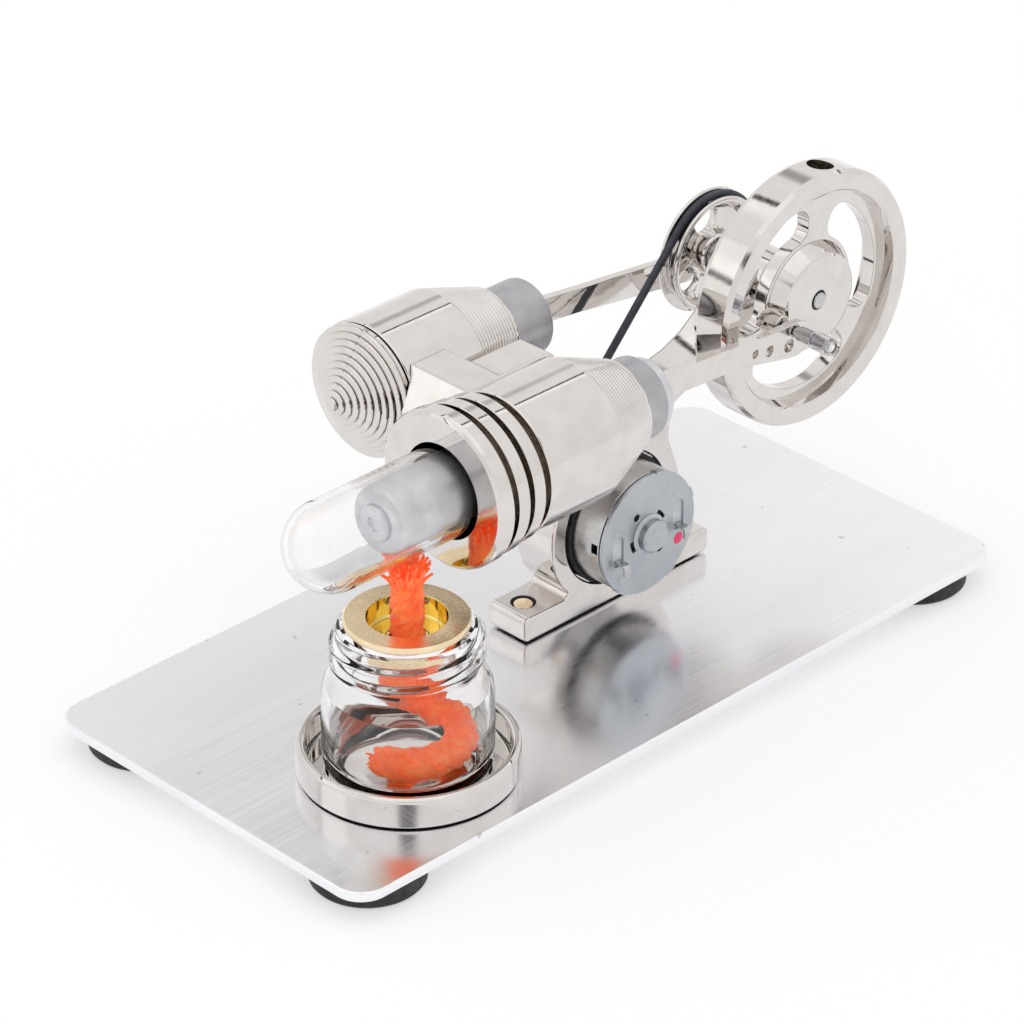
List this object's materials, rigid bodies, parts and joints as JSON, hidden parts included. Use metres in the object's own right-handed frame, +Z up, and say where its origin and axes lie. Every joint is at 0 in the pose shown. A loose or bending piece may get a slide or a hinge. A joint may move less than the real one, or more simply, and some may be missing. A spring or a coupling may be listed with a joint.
{
  "type": "stirling engine model",
  "caption": "Desk-top hot-air engine on a sheet base: glass hot tube over a spirit burner, paired cylinders, spoked flywheel and a belt-driven generator.",
  "frame": {"origin": "middle of the model's footprint, on the surface that the pads stand on", "axes": "+Z up, +Y from the burner end to the flywheel end, +X to the side with the hot cylinder and the generator's end plate"},
  "size_m": [0.0782, 0.1622, 0.0798],
  "materials": {
    "nickel": "polished nickel plate",
    "brushed_aluminium": "fine brushed sheet",
    "turned_aluminium": "matt turned",
    "steel": "ground",
    "galvanised": "zinc plate",
    "brass": "turned",
    "rubber": "matt black",
    "belt_rubber": "smooth dark blue-grey",
    "glass": "clear",
    "cotton": "twisted orange cotton",
    "magnet": "sintered",
    "clear_plastic": "translucent sleeve"
  },
  "bodies": {
    "frame": {"base_plate": "brushed_aluminium", "foot_burner_left": "rubber", "foot_burner_right": "rubber", "foot_flywheel_left": "rubber", "foot_flywheel_right": "rubber", "burner_tray": "nickel", "burner_jar": "glass", "wick_holder": "brass", "wick": "cotton", "hot_cylinder": "nickel", "finned_head": "nickel", "cold_cylinder": "nickel", "cold_end_cap": "nickel", "glass_tube": "glass", "hot_liner": "turned_aluminium", "cold_liner": "turned_aluminium", "engine_pedestal": "nickel", "bearing_arm": "nickel", "cylinder_bridge": "nickel", "bearing_pulley_side": "steel", "bearing_flywheel_side": "steel", "mount_screw_burner_end": "brass", "mount_screw_flywheel_end": "brass", "drive_belt": "belt_rubber", "generator_can": "nickel", "generator_sleeve": "rubber", "generator_magnet": "magnet", "generator_end_plate": "galvanised", "generator_bush": "steel", "terminal_burner_side": "steel", "terminal_flywheel_side": "steel"},
    "crank": {"crankshaft": "steel", "flywheel": "nickel", "crank_pulley": "nickel"},
    "generator_rotor": {"generator_shaft": "steel", "generator_pulley": "brass", "generator_armature": "magnet"},
    "hot_piston_set": {"hot_piston": "steel", "hot_wrist_pin": "steel"},
    "hot_rod_set": {"hot_connecting_rod": "nickel", "hot_crank_pin": "steel", "hot_pin_collar": "clear_plastic"},
    "cold_piston_set": {"cold_piston": "steel", "cold_wrist_pin": "steel"},
    "cold_rod_set": {"cold_connecting_rod": "nickel", "cold_crank_pin": "steel", "cold_pin_collar": "clear_plastic"}
  },
  "joints": [
    {"name": "crank_spin", "type": "hinge", "parent": "frame", "child": "crank", "pos_m": [0, 0.0567, 0.0554], "axis": [1, 0, 0], "continuous": true},
    {"name": "generator_spin", "type": "hinge", "parent": "frame", "child": "generator_rotor", "pos_m": [0, 0.0159, 0.023], "axis": [1, 0, 0], "continuous": true},
    {"name": "hot_piston_slide", "type": "slide", "parent": "frame", "child": "hot_piston_set", "axis": [0, 1, 0], "range_m": [-0.0001, 0.0201]},
    {"name": "hot_rod_swing", "type": "hinge", "parent": "hot_piston_set", "child": "hot_rod_set", "pos_m": [0.015, 0.0069, 0.056], "axis": [1, 0, 0], "range_deg": [-13.05, 16.34]},
    {"name": "cold_piston_slide", "type": "slide", "parent": "frame", "child": "cold_piston_set", "axis": [0, 1, 0], "range_m": [-0.00663, 0.00457]},
    {"name": "cold_rod_swing", "type": "hinge", "parent": "cold_piston_set", "child": "cold_rod_set", "pos_m": [-0.0208, 0.0093, 0.056], "axis": [1, 0, 0], "range_deg": [-0.04, 13.23]}
  ],
  "couplings": [
    {"joint": "generator_spin", "follows": "crank_spin", "ratio": 3.0267}
  ]
}
